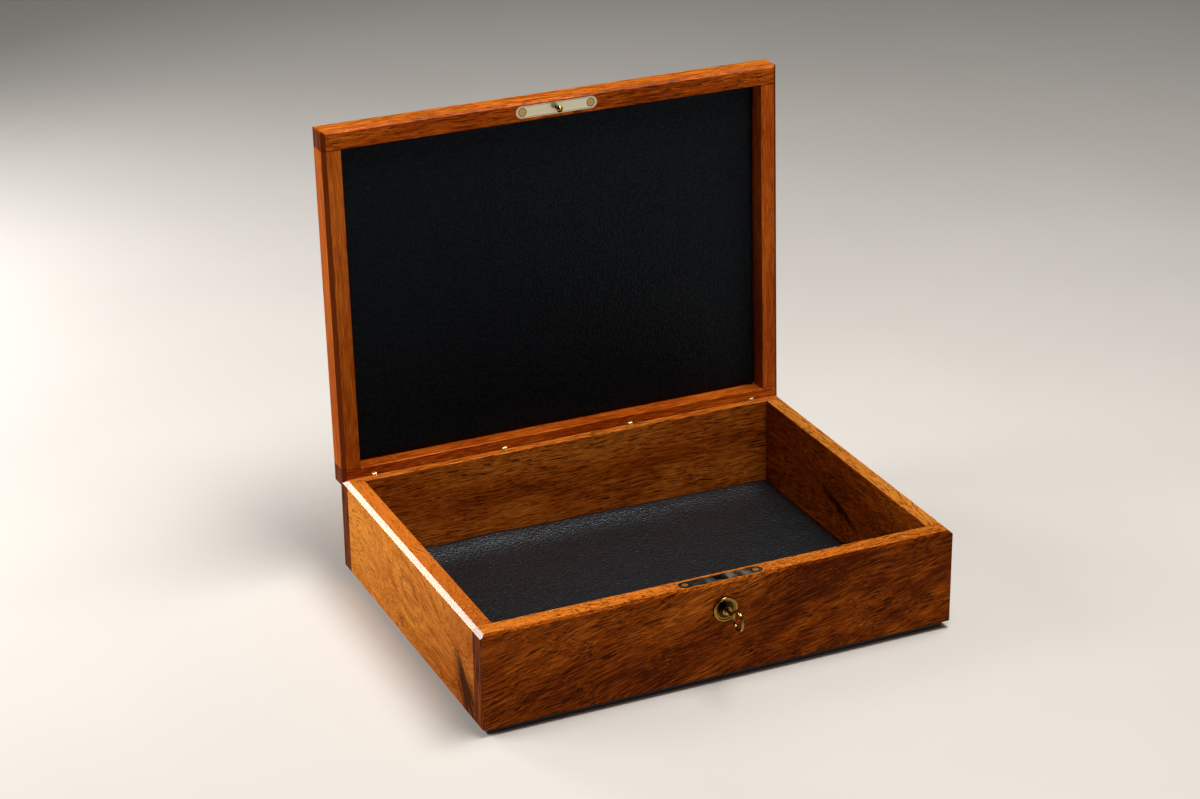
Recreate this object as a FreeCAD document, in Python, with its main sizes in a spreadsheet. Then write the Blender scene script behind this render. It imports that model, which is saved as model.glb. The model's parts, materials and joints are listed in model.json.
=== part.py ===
"""Hinged document box: tongued boards, padded leather linings, barrel hinges and a box lock.

Origin at the centre of the underside, +X to the right, +Y to the back, +Z up, millimetres.
The lid stands open, as it does when papers are put in.
"""
import FreeCAD, Part
import math
import os
import re

import Sketcher
from FreeCAD import Placement, Rotation, Vector

# Driving sizes, in millimetres and degrees

SIZES = {
    # case and lid
    "box_length": 360,
    "box_depth": 272,
    "body_height": 72,
    "wall_thickness": 14,
    "lid_height": 21,
    "seam_gap": 0.5,
    "opening_angle": 92,
    "side_chamfer": 3,
    "front_chamfer": 1.6,
    "corner_ease": 0.8,
    "arris_ease": 0.4,
    "lid_rounding": 2.5,
    # corner tongues, glued into stopped grooves
    "tongue_thickness": 4,
    "tongue_length": 5,
    "tongue_stop": 10,
    "lid_tongue_margin": 4,
    # base
    "base_height": 6,
    "base_inset": 4.5,
    "felt_thickness": 0.8,
    "base_screw_inset": 9.5,
    "base_row_margin": 28,
    "base_screw_length": 16,
    "base_screw_radius": 1.5,
    "base_head_radius": 3,
    # linings and lid panel
    "floor_board_thickness": 1.4,
    "lid_board_thickness": 1,
    "leather_thickness": 1.6,
    "leather_rounding": 1.2,
    "lining_gap": 0.4,
    "panel_thickness": 5,
    "panel_ledge": 7,
    "panel_chamfer": 0.6,
    # barrel hinges
    "hinge_margin": 24,
    "barrel_diameter": 5,
    "barrel_length": 11,
    "knuckle_radius": 1.3,
    "knuckle_width": 3,
    "knuckle_room": 0.2,
    "tongue_width": 1,
    "tongue_clearance": 0.15,
    "hinge_pin_diameter": 1,
    "running_clearance": 0.05,
    # selvedge and strike plates
    "plate_length": 64,
    "plate_overlap": 0.3,
    "plate_thickness": 1.6,
    "plate_screw_inset": 5,
    "plate_screw_length": 11,
    "plate_screw_radius": 1.2,
    "plate_head_radius": 2.4,
    "driver_slot_width": 0.6,
    "driver_slot_depth": 0.5,
    "stud_slot_length": 9,
    "stud_slot_clearance": 0.35,
    # lock
    "lock_drop": 21,
    "case_room": 0.7,
    "case_end_room": 2.2,
    "case_sheet": 1,
    "mortise_clearance": 0.2,
    "plug_diameter": 7,
    "plug_nose": 4.6,
    "plug_chamfer": 0.4,
    "plug_wall": 0.45,
    "plug_web": 1.3,
    "disc_diameter": 10,
    "disc_thickness": 1.6,
    "disc_clearance": 0.3,
    "disc_room": 2,
    "crank_radius": 3.2,
    "crank_pin_diameter": 1.6,
    "key_turn_angle": 90,
    "bolt_thickness": 1.5,
    "bolt_clearance": 0.3,
    "bolt_web": 1.4,
    "bolt_arm_start": 7.6,
    "tail_thickness": 1.4,
    "tail_drop": 1.5,
    "post_radius": 1,
    "post_left": 6,
    "post_right": 9,
    "post_margin": 3.2,
    "stud_neck_radius": 1.3,
    "stud_head_radius": 2.5,
    "stud_head_height": 2.8,
    "stud_clearance": 0.6,
    "stud_rivet_radius": 1.6,
    # escutcheon and key
    "escutcheon_diameter": 18.4,
    "escutcheon_height": 2.2,
    "rim_width": 1.8,
    "dish_floor": 0.9,
    "collar_width": 1.45,
    "collar_chamfer": 0.4,
    "dish_slope": 0.6,
    "sleeve_wall": 1.45,
    "key_radius": 1.4,
    "key_tip_chamfer": 0.4,
    "key_bit_length": 4,
    "key_bit_thickness": 1,
    "key_shoulder_radius": 2.4,
    "key_shoulder_length": 1.4,
    "bow_distance": 20,
    "bow_radius": 6.6,
    "bow_wire_radius": 1.15,
    "bow_joint_depth": 0.7,
    "bow_joint_radius": 0.9,
}

HINGE_COUNT = 4
LEAF_COUNT = 3
BASE_SCREWS_PER_ROW = 4

doc = FreeCAD.newDocument("document_box")
sheet = doc.addObject("Spreadsheet::Sheet", "sizes")
for row, (alias, number) in enumerate(SIZES.items(), start=1):
    sheet.set(f"A{row}", alias)
    sheet.set(f"B{row}", str(number))
    sheet.setAlias(f"B{row}", alias)
doc.recompute()

# Places worked out from the sizes, as expressions

HALF_X = "(box_length / 2)"
HALF_Y = "(box_depth / 2)"
INNER_X = "(box_length / 2 - wall_thickness)"
INNER_Y = "(box_depth / 2 - wall_thickness)"
SEAM_Z = "(base_height + body_height)"
RIM_Z = "(base_height + body_height - seam_gap / 2)"
LID_Z = "(base_height + body_height + seam_gap / 2)"
TOP_Z = "(base_height + body_height + lid_height)"
LEDGE_Z = f"({TOP_Z} - panel_thickness)"
HINGE_Y = "(box_depth / 2 - wall_thickness / 2)"
BEVEL = "(opening_angle * 0.5deg)"
BEVEL_Y = f"({HINGE_Y} - seam_gap / 2 * tan(opening_angle * 0.25deg))"
LOCK_Y = "(wall_thickness / 2 - box_depth / 2)"
LOCK_Z = f"({SEAM_Z} - lock_drop)"
CASE_HALF_WIDTH = "(stud_head_radius + case_room + case_sheet)"
CASE_WIDTH = f"(2 * {CASE_HALF_WIDTH})"
CASE_FRONT = f"({LOCK_Y} - {CASE_HALF_WIDTH})"
CASE_BACK = f"({LOCK_Y} + {CASE_HALF_WIDTH})"
CASE_BOTTOM = f"({LOCK_Z} - disc_diameter / 2 - disc_room - case_sheet)"
PLATE_WIDTH = f"({CASE_WIDTH} + 2 * plate_overlap)"
PLATE_UNDER = f"({RIM_Z} - plate_thickness)"
TRAVEL = "(2 * crank_radius * sin(key_turn_angle * 0.5deg))"
FORK_TOP = f"({PLATE_UNDER} - bolt_clearance)"
FORK_UNDER = f"({FORK_TOP} - bolt_thickness)"
STUD_NECK_END = f"({FORK_UNDER} - stud_clearance)"
STUD_TIP = f"({STUD_NECK_END} - stud_head_height)"
TAIL_TOP = f"({STUD_TIP} - tail_drop)"
GUIDE_RADIUS = "(post_radius + running_clearance)"
BOLT_LEFT = f"(-post_left - {GUIDE_RADIUS} - bolt_web)"
BOLT_RIGHT = f"(post_right + {TRAVEL} + {GUIDE_RADIUS} + bolt_web)"
CASE_HALF_LENGTH = f"({BOLT_RIGHT} + case_end_room + case_sheet)"
PLUG_BORE = "(plug_diameter / 2 + running_clearance)"
SLEEVE_RADIUS = f"({PLUG_BORE} + sleeve_wall)"


def ex(text):
    """An expression with every size name pointing into the sheet."""
    return re.sub(r"\b([a-z]+(?:_[a-z]+)+)\b", r"sizes.\1", str(text))


def val(text):
    """The present value of an expression."""
    return float(sheet.evalExpression(ex(text)))


def rotation_about_x(degrees, y, z):
    """Turn about an axis along X through (y, z)."""
    return Placement(Vector(), Rotation(Vector(1, 0, 0), degrees), Vector(0, y, z))


LID_OPEN = rotation_about_x(-val("opening_angle"), val(HINGE_Y), val(SEAM_Z))

nodes = {}


def keep(name, item, placement=None):
    """Register a finished sub-part and put it in its place."""
    item.Label = name
    if placement is not None:
        item.Placement = placement
    nodes[name] = item
    return item


# Sketch and feature helpers

def new_body(name):
    body = doc.addObject("PartDesign::Body", name)
    body.AllowCompound = True
    return body


def new_sketch(body, name, role, at=("0", "0", "0")):
    """Sketch on one of the body's origin planes, shifted by `at` in the plane's own axes."""
    sketch = body.newObject("Sketcher::SketchObject", name)
    plane = [item for item in body.Origin.OriginFeatures if item.Role == role][0]
    sketch.AttachmentSupport = [(plane, "")]
    sketch.MapMode = "FlatFace"
    for axis, place in zip("xyz", at):
        sketch.setExpression(f"AttachmentOffset.Base.{axis}", ex(place))
    return sketch


def bind(sketch, kind, index, vertex, expression):
    """Dimension a vertex from the sketch's origin, or a curve's radius."""
    if kind == "Radius":
        rule = Sketcher.Constraint("Radius", index, val(expression))
    else:
        rule = Sketcher.Constraint(kind, -1, 1, index, vertex, val(expression))
    number = sketch.addConstraint(rule)
    sketch.setExpression(f"Constraints[{number}]", ex(expression))


def bind_centre(sketch, index, here, there, target):
    """Hold an arc's centre on the chord's bisector by the coordinate that runs most across the chord."""
    if abs(there[1] - here[1]) > abs(there[0] - here[0]):
        bind(sketch, "DistanceX", index, 3, target[2])
    else:
        bind(sketch, "DistanceY", index, 3, target[3])


def draw_path(sketch, points):
    """Closed outline. A point is (x, y), or (x, y, centre x, centre y, sense) where an arc arrives at it."""
    places = [(val(point[0]), val(point[1])) for point in points]
    first = sketch.GeometryCount
    count = len(points)
    ends = []
    for i in range(count):
        here = Vector(*places[i], 0)
        there = Vector(*places[(i + 1) % count], 0)
        target = points[(i + 1) % count]
        if len(target) == 2:
            sketch.addGeometry(Part.LineSegment(here, there))
            ends.append((1, 2))
            continue
        centre = Vector(val(target[2]), val(target[3]), 0)
        start = math.atan2(here.y - centre.y, here.x - centre.x)
        stop = math.atan2(there.y - centre.y, there.x - centre.x)
        circle = Part.Circle(centre, Vector(0, 0, 1), here.distanceToPoint(centre))
        if target[4] == "ccw":
            sketch.addGeometry(Part.ArcOfCircle(circle, start, stop))
            ends.append((1, 2))
        else:
            sketch.addGeometry(Part.ArcOfCircle(circle, stop, start))
            ends.append((2, 1))
    for i in range(count):
        follower = (i + 1) % count
        sketch.addConstraint(
            Sketcher.Constraint("Coincident", first + i, ends[i][1], first + follower, ends[follower][0])
        )
        bind(sketch, "DistanceX", first + i, ends[i][0], points[i][0])
        bind(sketch, "DistanceY", first + i, ends[i][0], points[i][1])
        target = points[follower]
        if len(target) > 2:
            bind_centre(sketch, first + i, places[i], places[follower], target)


def draw_circle(sketch, x, y, radius):
    circle = Part.Circle(Vector(val(x), val(y), 0), Vector(0, 0, 1), val(radius))
    index = sketch.addGeometry(circle)
    bind(sketch, "DistanceX", index, 3, x)
    bind(sketch, "DistanceY", index, 3, y)
    bind(sketch, "Radius", index, 0, radius)


def rectangle(x_low, y_low, x_high, y_high):
    return [(x_low, y_low), (x_high, y_low), (x_high, y_high), (x_low, y_high)]


def obround(x_low, x_high, y_middle, radius):
    """Outline with round ends; x_low and x_high are the ends' centres."""
    low = f"({y_middle} - {radius})"
    high = f"({y_middle} + {radius})"
    return [
        (x_low, low, x_low, y_middle, "ccw"),
        (x_high, low),
        (x_high, high, x_high, y_middle, "ccw"),
        (x_low, high),
    ]


def volume(body):
    shape = body.Shape
    return shape.Volume if not shape.isNull() else 0.0


def pad(body, sketch, length, reverse=False, both=False):
    """Add the sketch's area times length, along its normal unless reversed or both ways."""
    before = volume(body)
    feature = body.newObject("PartDesign::Pad", sketch.Name + "_pad")
    feature.Profile = sketch
    feature.Reversed = reverse
    feature.Midplane = both
    feature.setExpression("Length", ex(length))
    sketch.Visibility = False
    doc.recompute()
    if volume(body) <= before:
        raise RuntimeError(f"{feature.Name} adds nothing")
    return feature


def pocket(body, sketch, depth=None, reverse=False):
    """Cut against the sketch's normal to a depth, or through everything both ways."""
    before = volume(body)
    feature = body.newObject("PartDesign::Pocket", sketch.Name + "_pocket")
    feature.Profile = sketch
    if depth is None:
        feature.Type = "ThroughAll"
        feature.Midplane = True
    else:
        feature.Reversed = reverse
        feature.setExpression("Length", ex(depth))
    sketch.Visibility = False
    doc.recompute()
    if volume(body) >= before:
        raise RuntimeError(f"{feature.Name} cuts nothing")
    return feature


def turned(body, name, role, path, at, axis):
    """Solid of revolution about one of the sketch's own axes."""
    sketch = new_sketch(body, name, role, at)
    draw_path(sketch, path)
    feature = body.newObject("PartDesign::Revolution", name + "_turned")
    feature.Profile = sketch
    feature.ReferenceAxis = (sketch, [axis])
    feature.Angle = 360
    sketch.Visibility = False
    doc.recompute()
    return feature


def mirrored(body, name, originals, role):
    """Copy features across one of the body's origin planes."""
    feature = body.newObject("PartDesign::Mirrored", name)
    plane = [item for item in body.Origin.OriginFeatures if item.Role == role][0]
    feature.Originals = originals
    feature.MirrorPlane = (plane, [""])
    body.Tip = feature
    doc.recompute()
    return feature


def repeated(body, name, originals, role, length, count):
    """Copies in a row along one of the body's origin axes, over the whole length."""
    feature = body.newObject("PartDesign::LinearPattern", name)
    axis = [item for item in body.Origin.OriginFeatures if item.Role == role][0]
    feature.Originals = originals
    feature.Direction = (axis, [""])
    feature.setExpression("Length", ex(length))
    feature.Occurrences = count
    body.Tip = feature
    doc.recompute()
    return feature


def bevel_edges(body, name, size, chosen, kind="Chamfer"):
    """Chamfer or fillet the edges of the present shape that `chosen` picks."""
    base = body.Tip
    edges = [f"Edge{i}" for i, edge in enumerate(base.Shape.Edges, start=1) if chosen(edge)]
    feature = body.newObject(f"PartDesign::{kind}", name)
    feature.Base = (base, edges)
    feature.setExpression("Size" if kind == "Chamfer" else "Radius", ex(size))
    doc.recompute()
    return feature


def edge_at_height(height):
    """Edges that lie wholly at a height."""
    level = val(height)

    def chosen(edge):
        box = edge.BoundBox
        return abs(box.ZMin - level) < 1e-4 and abs(box.ZMax - level) < 1e-4

    return chosen


def hole_rims(height, radius):
    """Round edges of one radius at a height."""
    at_height = edge_at_height(height)
    wanted = val(radius)

    def chosen(edge):
        round_edge = isinstance(edge.Curve, Part.Circle)
        return at_height(edge) and round_edge and abs(edge.Curve.Radius - wanted) < 1e-4

    return chosen


# Shared shaping of the boards and rails

def cut_side_chamfers(body, seam, outward):
    """45 degree chamfers along the left and right seam edges; outward is the way off the board."""
    sketch = new_sketch(body, body.Name + "_side_chamfers", "XZ_Plane")
    shoulder = f"({seam} - {outward} * side_chamfer)"
    for side in ("-1", "1"):
        edge = f"({side} * {HALF_X})"
        inner = f"({side} * ({HALF_X} - side_chamfer))"
        draw_path(sketch, [(edge, shoulder), (edge, seam), (inner, seam)])
    pocket(body, sketch)


def ease_corners(body):
    """Break the four upright outer corners."""
    sketch = new_sketch(body, body.Name + "_corner_ease", "XY_Plane")
    for side_x in ("-1", "1"):
        for side_y in ("-1", "1"):
            x = f"({side_x} * {HALF_X})"
            y = f"({side_y} * {HALF_Y})"
            x_in = f"({side_x} * ({HALF_X} - corner_ease))"
            y_in = f"({side_y} * ({HALF_Y} - corner_ease))"
            draw_path(sketch, [(x, y), (x_in, y), (x, y_in)])
    pocket(body, sketch)


def round_lid_sides(body):
    """Round the lid's left and right top edges."""
    sketch = new_sketch(body, body.Name + "_top_rounding", "XZ_Plane")
    low = f"({TOP_Z} - lid_rounding)"
    for side, sense in (("-1", "ccw"), ("1", "cw")):
        edge = f"({side} * {HALF_X})"
        inner = f"({side} * ({HALF_X} - lid_rounding))"
        draw_path(sketch, [(edge, low, inner, low, sense),
                           (edge, TOP_Z), (inner, TOP_Z)])
    pocket(body, sketch)


def groove_ends(body, side_y, bottom, top):
    """Stopped grooves near both ends of a full-width board, for the side boards' tongues."""
    sketch = new_sketch(body, body.Name + "_grooves", "XY_Plane", ("0", "0", top))
    near = f"({side_y} * {INNER_Y})"
    far = f"({side_y} * ({INNER_Y} + tongue_length))"
    for side_x in ("-1", "1"):
        middle = f"({side_x} * ({HALF_X} - wall_thickness / 2))"
        draw_path(sketch, rectangle(f"({middle} - tongue_thickness / 2)", near,
                                    f"({middle} + tongue_thickness / 2)", far))
    pocket(body, sketch, f"{top} - {bottom}")


def add_tongues(body, side_x, bottom, top):
    """Stopped tongues on both ends of a side board, in one piece through it."""
    sketch = new_sketch(body, body.Name + "_tongues", "XY_Plane", ("0", "0", bottom))
    middle = f"({side_x} * ({HALF_X} - wall_thickness / 2))"
    reach = f"({INNER_Y} + tongue_length)"
    draw_path(sketch, rectangle(f"({middle} - tongue_thickness / 2)", f"(-{reach})",
                                f"({middle} + tongue_thickness / 2)", reach))
    pad(body, sketch, f"{top} - {bottom}")


def extrude_along_x(name, path, half_length):
    """Body with a section in Y and Z, centred on X."""
    body = new_body(name)
    sketch = new_sketch(body, name + "_section", "YZ_Plane")
    draw_path(sketch, path)
    pad(body, sketch, f"2 * {half_length}", both=True)
    return body


def extrude_along_y(name, path, half_length):
    """Body with a section in X and Z, centred on Y."""
    body = new_body(name)
    sketch = new_sketch(body, name + "_section", "XZ_Plane")
    draw_path(sketch, path)
    pad(body, sketch, f"2 * {half_length}", both=True)
    return body


def bore_row(body, name, level, places, radius, depth, upward):
    """Round holes of one size, starting at a level."""
    sketch = new_sketch(body, name, "XY_Plane", ("0", "0", level))
    for x, y in places:
        draw_circle(sketch, x, y, radius)
    pocket(body, sketch, depth, reverse=upward)


TONGUE_TOP = f"({RIM_Z} - tongue_stop)"
LID_TONGUE_LOW = f"({LID_Z} + lid_tongue_margin)"
LID_TONGUE_HIGH = f"({LEDGE_Z} - lid_tongue_margin)"

HINGE_SPACING = f"((box_length - 2 * hinge_margin) / {HINGE_COUNT - 1})"
HINGE_X = [f"(hinge_margin - {HALF_X} + {k} * {HINGE_SPACING})" for k in range(HINGE_COUNT)]
BARREL_RADIUS = "(barrel_diameter / 2)"
BORE_DEPTH = "(barrel_length - seam_gap / 2)"

PLATE_SCREW_PLACE = "(plate_length / 2 - plate_screw_inset)"
PLATE_SCREW_X = (f"(-{PLATE_SCREW_PLACE})", PLATE_SCREW_PLACE)

BASE_SCREW_X = f"({HALF_X} - base_screw_inset)"
BASE_SCREW_Y = f"({HALF_Y} - base_screw_inset)"
ROW_END_X = f"({HALF_X} - base_row_margin)"
BASE_SCREW_STEP = f"(2 * {ROW_END_X} / {BASE_SCREWS_PER_ROW - 1})"
LONG_ROW_X = [f"({k} * {BASE_SCREW_STEP} - {ROW_END_X})" for k in range(BASE_SCREWS_PER_ROW)]
PILOT_DEPTH = "(base_screw_length - (base_height - felt_thickness))"


# Case boards

def make_front_board():
    path = [
        (f"(-{HALF_Y})", "base_height"),
        (f"(-{INNER_Y})", "base_height"),
        (f"(-{INNER_Y})", RIM_Z),
        (f"(front_chamfer - {HALF_Y})", RIM_Z),
        (f"(-{HALF_Y})", f"({RIM_Z} - front_chamfer)"),
    ]
    body = extrude_along_x("front_board", path, HALF_X)
    cut_side_chamfers(body, RIM_Z, "1")
    ease_corners(body)
    ease_inner_arris(body, RIM_Z, "-1", "-1")
    groove_ends(body, "-1", "base_height", TONGUE_TOP)
    bore_row(body, "front_base_pilots", "base_height", [(x, f"(-{BASE_SCREW_Y})") for x in LONG_ROW_X],
             "base_screw_radius", PILOT_DEPTH, True)
    recess = new_sketch(body, "selvedge_recess", "XY_Plane", ("0", LOCK_Y, RIM_Z))
    draw_path(recess, plate_outline())
    pocket(body, recess, "plate_thickness")
    mortise = new_sketch(body, "lock_mortise", "XY_Plane", ("0", LOCK_Y, RIM_Z))
    half_length = f"({CASE_HALF_LENGTH} + mortise_clearance)"
    half_width = f"({CASE_HALF_WIDTH} + mortise_clearance)"
    draw_path(mortise, rectangle(f"(-{half_length})", f"(-{half_width})", half_length, half_width))
    pocket(body, mortise, f"{RIM_Z} - {CASE_BOTTOM} + mortise_clearance")
    sleeve = new_sketch(body, "sleeve_bore", "XZ_Plane", ("0", LOCK_Z, HALF_Y))
    draw_circle(sleeve, "0", "0", SLEEVE_RADIUS)
    pocket(body, sleeve, "wall_thickness / 2")
    bore_row(body, "plate_pilots", RIM_Z, [(x, LOCK_Y) for x in PLATE_SCREW_X],
             "plate_screw_radius", "plate_screw_length", False)
    keep("front_board", body)


def plate_outline():
    """Round-ended outline of the selvedge and strike plates about their own centre."""
    reach = f"((plate_length - {PLATE_WIDTH}) / 2)"
    return obround(f"(-{reach})", reach, "0", f"({PLATE_WIDTH} / 2)")


def bevel_height(up, y):
    """Height of the back bevel at a distance from the middle; up is 1 for the lid and -1 for the case."""
    return f"({SEAM_Z} + {up} * (seam_gap / 2 + ({y} - {HINGE_Y}) * sin({BEVEL})) / cos({BEVEL}))"


def seam_section(seam, up):
    """Flat seam and back bevel of the rear board or rail, from inside to the back face."""
    return [
        (INNER_Y, seam),
        (BEVEL_Y, seam),
        (HALF_Y, bevel_height(up, HALF_Y)),
    ]


def ease_inner_arris(body, seam, side_y, inward):
    """Break the inner edge of a full-width board between the side boards; inward is the way into the wood."""
    sketch = new_sketch(body, body.Name + "_arris", "YZ_Plane", ("0", "0", f"(-{INNER_X})"))
    face = f"({side_y} * {INNER_Y})"
    draw_path(sketch, [
        (face, seam),
        (f"({side_y} * ({INNER_Y} + arris_ease))", seam),
        (face, f"({seam} + {inward} * arris_ease)"),
    ])
    pocket(body, sketch, f"2 * {INNER_X}", reverse=True)


def ease_side_arris(body, seam, side_x, inward):
    """Break the inner edge of a side board along its whole length."""
    sketch = new_sketch(body, body.Name + "_arris", "XZ_Plane", ("0", "0", INNER_Y))
    face = f"({side_x} * {INNER_X})"
    draw_path(sketch, [
        (face, seam),
        (f"({side_x} * ({INNER_X} + arris_ease))", seam),
        (face, f"({seam} + {inward} * arris_ease)"),
    ])
    pocket(body, sketch, f"2 * {INNER_Y}")


def make_back_board():
    path = seam_section(RIM_Z, "-1") + [(HALF_Y, "base_height"), (INNER_Y, "base_height")]
    body = extrude_along_x("back_board", path, HALF_X)
    cut_side_chamfers(body, RIM_Z, "1")
    ease_corners(body)
    ease_inner_arris(body, RIM_Z, "1", "-1")
    groove_ends(body, "1", "base_height", TONGUE_TOP)
    bore_row(body, "back_base_pilots", "base_height", [(x, BASE_SCREW_Y) for x in LONG_ROW_X],
             "base_screw_radius", PILOT_DEPTH, True)
    bore_row(body, "box_barrel_bores", RIM_Z, [(x, HINGE_Y) for x in HINGE_X],
             BARREL_RADIUS, BORE_DEPTH, False)
    keep("back_board", body)


def make_side_board(name, side_x):
    inner = f"({side_x} * {INNER_X})"
    outer = f"({side_x} * {HALF_X})"
    body = extrude_along_y(name, rectangle(inner, "base_height", outer, RIM_Z), INNER_Y)
    cut_side_chamfers(body, RIM_Z, "1")
    ease_side_arris(body, RIM_Z, side_x, "-1")
    add_tongues(body, side_x, "base_height", TONGUE_TOP)
    bore_row(body, name + "_pilots", "base_height", [(f"({side_x} * {BASE_SCREW_X})", "0")],
             "base_screw_radius", PILOT_DEPTH, True)
    keep(name, body)


# Base

def plate_body(name, half_x, half_y, bottom, thickness):
    """Rectangular board centred on the origin."""
    body = new_body(name)
    sketch = new_sketch(body, name + "_outline", "XY_Plane", ("0", "0", bottom))
    draw_path(sketch, rectangle(f"(-{half_x})", f"(-{half_y})", half_x, half_y))
    pad(body, sketch, thickness)
    return body


def base_screw_places():
    """Screw positions: a row along the front and back, one in the middle of each side."""
    rows = [(x, f"({side} * {BASE_SCREW_Y})") for side in ("-1", "1") for x in LONG_ROW_X]
    return rows + [(f"({side} * {BASE_SCREW_X})", "0") for side in ("-1", "1")]


def make_base():
    half_x = f"({HALF_X} - base_inset)"
    half_y = f"({HALF_Y} - base_inset)"
    felt = plate_body("base_felt", half_x, half_y, "0", "felt_thickness")
    keep("base_felt", felt)
    panel = plate_body("base_panel", half_x, half_y, "felt_thickness", "base_height - felt_thickness")
    bore_row(panel, "base_panel_holes", "felt_thickness", base_screw_places(),
             "base_screw_radius", "base_height - felt_thickness", True)
    bevel_edges(panel, "base_panel_countersinks", "(base_head_radius - base_screw_radius)",
                hole_rims("felt_thickness", "base_screw_radius"))
    keep("base_panel", panel)


def screw_profile(head_radius, shank_radius, length, up):
    """Countersunk wood screw about the local upright axis, head at zero; up is the point's way."""
    shoulder = f"({up} * ({head_radius} - {shank_radius}))"
    point = f"({up} * ({length} - 2 * {shank_radius}))"
    return [
        ("0", "0"),
        (head_radius, "0"),
        (shank_radius, shoulder),
        (shank_radius, point),
        ("0", f"({up} * {length})"),
    ]


def make_base_screws():
    """Ten countersunk screws up through the base into the boards, as separate solids."""
    body = new_body("base_screws")
    profile = screw_profile("base_head_radius", "base_screw_radius", "base_screw_length", "1")
    for k, (x, y) in enumerate(base_screw_places(), start=1):
        turned(body, f"base_screw_{k}", "XZ_Plane", profile, (x, "felt_thickness", f"(-{y})"), "V_Axis")
    keep("base_screws", body)


# Linings

def make_lining(name, bottom, thickness, placement=None):
    half_x = f"({INNER_X} - lining_gap)"
    half_y = f"({INNER_Y} - lining_gap)"
    body = plate_body(name, half_x, half_y, bottom, thickness)
    keep(name, body, placement)
    return body


def make_linings():
    floor_top = "(base_height + floor_board_thickness)"
    make_lining("floor_board", "base_height", "floor_board_thickness")
    floor = make_lining("floor_leather", floor_top, "leather_thickness")
    bevel_edges(floor, "floor_leather_rounding", "leather_rounding",
                edge_at_height(f"{floor_top} + leather_thickness"), "Fillet")
    board_z = f"({LEDGE_Z} - lid_board_thickness)"
    make_lining("lid_lining_board", board_z, "lid_board_thickness", LID_OPEN)
    leather_z = f"({board_z} - leather_thickness)"
    leather = make_lining("lid_leather", leather_z, "leather_thickness", LID_OPEN)
    bevel_edges(leather, "lid_leather_rounding", "leather_rounding",
                edge_at_height(leather_z), "Fillet")


# Lid

def make_lid_front_rail():
    round_z = f"({TOP_Z} - lid_rounding)"
    round_y = f"(lid_rounding - {HALF_Y})"
    path = [
        (f"(-{HALF_Y})", round_z),
        (f"(-{HALF_Y})", f"({LID_Z} + front_chamfer)"),
        (f"(front_chamfer - {HALF_Y})", LID_Z),
        (f"(-{INNER_Y})", LID_Z),
        (f"(-{INNER_Y})", TOP_Z),
        (round_y, TOP_Z),
    ]
    path[0] = path[0] + (round_y, round_z, "ccw")
    body = extrude_along_x("lid_front_rail", path, HALF_X)
    finish_full_rail(body, "-1")
    recess = new_sketch(body, "strike_recess", "XY_Plane", ("0", LOCK_Y, LID_Z))
    draw_path(recess, plate_outline())
    pocket(body, recess, "plate_thickness", reverse=True)
    bore_row(body, "strike_pilots", LID_Z, [(x, LOCK_Y) for x in PLATE_SCREW_X],
             "plate_screw_radius", "plate_screw_length", True)
    keep("lid_front_rail", body, LID_OPEN)


def finish_full_rail(body, side_y):
    """Chamfers, roundings, grooves and the panel's stopped rebate in a rail that runs the full width."""
    cut_side_chamfers(body, LID_Z, "-1")
    ease_corners(body)
    ease_inner_arris(body, LID_Z, side_y, "1")
    round_lid_sides(body)
    groove_ends(body, side_y, LID_TONGUE_LOW, LID_TONGUE_HIGH)
    rebate = new_sketch(body, body.Name + "_rebate", "XY_Plane", ("0", "0", TOP_Z))
    reach = f"({INNER_X} + panel_ledge)"
    draw_path(rebate, rectangle(f"(-{reach})", f"({side_y} * {INNER_Y})", reach,
                                f"({side_y} * ({INNER_Y} + panel_ledge))"))
    pocket(body, rebate, "panel_thickness")


def make_lid_back_rail():
    round_z = f"({TOP_Z} - lid_rounding)"
    round_y = f"({HALF_Y} - lid_rounding)"
    path = seam_section(LID_Z, "1") + [
        (HALF_Y, round_z),
        (round_y, TOP_Z, round_y, round_z, "ccw"),
        (INNER_Y, TOP_Z),
    ]
    body = extrude_along_x("lid_back_rail", path, HALF_X)
    finish_full_rail(body, "1")
    bore_row(body, "lid_barrel_bores", LID_Z, [(x, HINGE_Y) for x in HINGE_X],
             BARREL_RADIUS, BORE_DEPTH, True)
    keep("lid_back_rail", body, LID_OPEN)


def make_lid_side_rail(name, side_x):
    inner = f"({side_x} * {INNER_X})"
    outer = f"({side_x} * {HALF_X})"
    ledge = f"({side_x} * ({INNER_X} + panel_ledge))"
    path = [
        (inner, LID_Z),
        (outer, LID_Z),
        (outer, TOP_Z),
        (ledge, TOP_Z),
        (ledge, LEDGE_Z),
        (inner, LEDGE_Z),
    ]
    body = extrude_along_y(name, path, INNER_Y)
    cut_side_chamfers(body, LID_Z, "-1")
    ease_side_arris(body, LID_Z, side_x, "1")
    round_lid_sides(body)
    add_tongues(body, side_x, LID_TONGUE_LOW, LID_TONGUE_HIGH)
    keep(name, body, LID_OPEN)


def make_lid_panel():
    half_x = f"({INNER_X} + panel_ledge)"
    half_y = f"({INNER_Y} + panel_ledge)"
    body = plate_body("lid_panel", half_x, half_y, LEDGE_Z, "panel_thickness")
    bevel_edges(body, "lid_panel_chamfer", "panel_chamfer", edge_at_height(TOP_Z))
    keep("lid_panel", body, LID_OPEN)


# Barrel hinges, drawn shut at X = 0 and then placed

TONGUE_HALF = "(tongue_width / 2)"
EAR_INNER = "(tongue_width / 2 + tongue_clearance)"
EAR_OUTER = "(knuckle_width / 2)"


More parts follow.
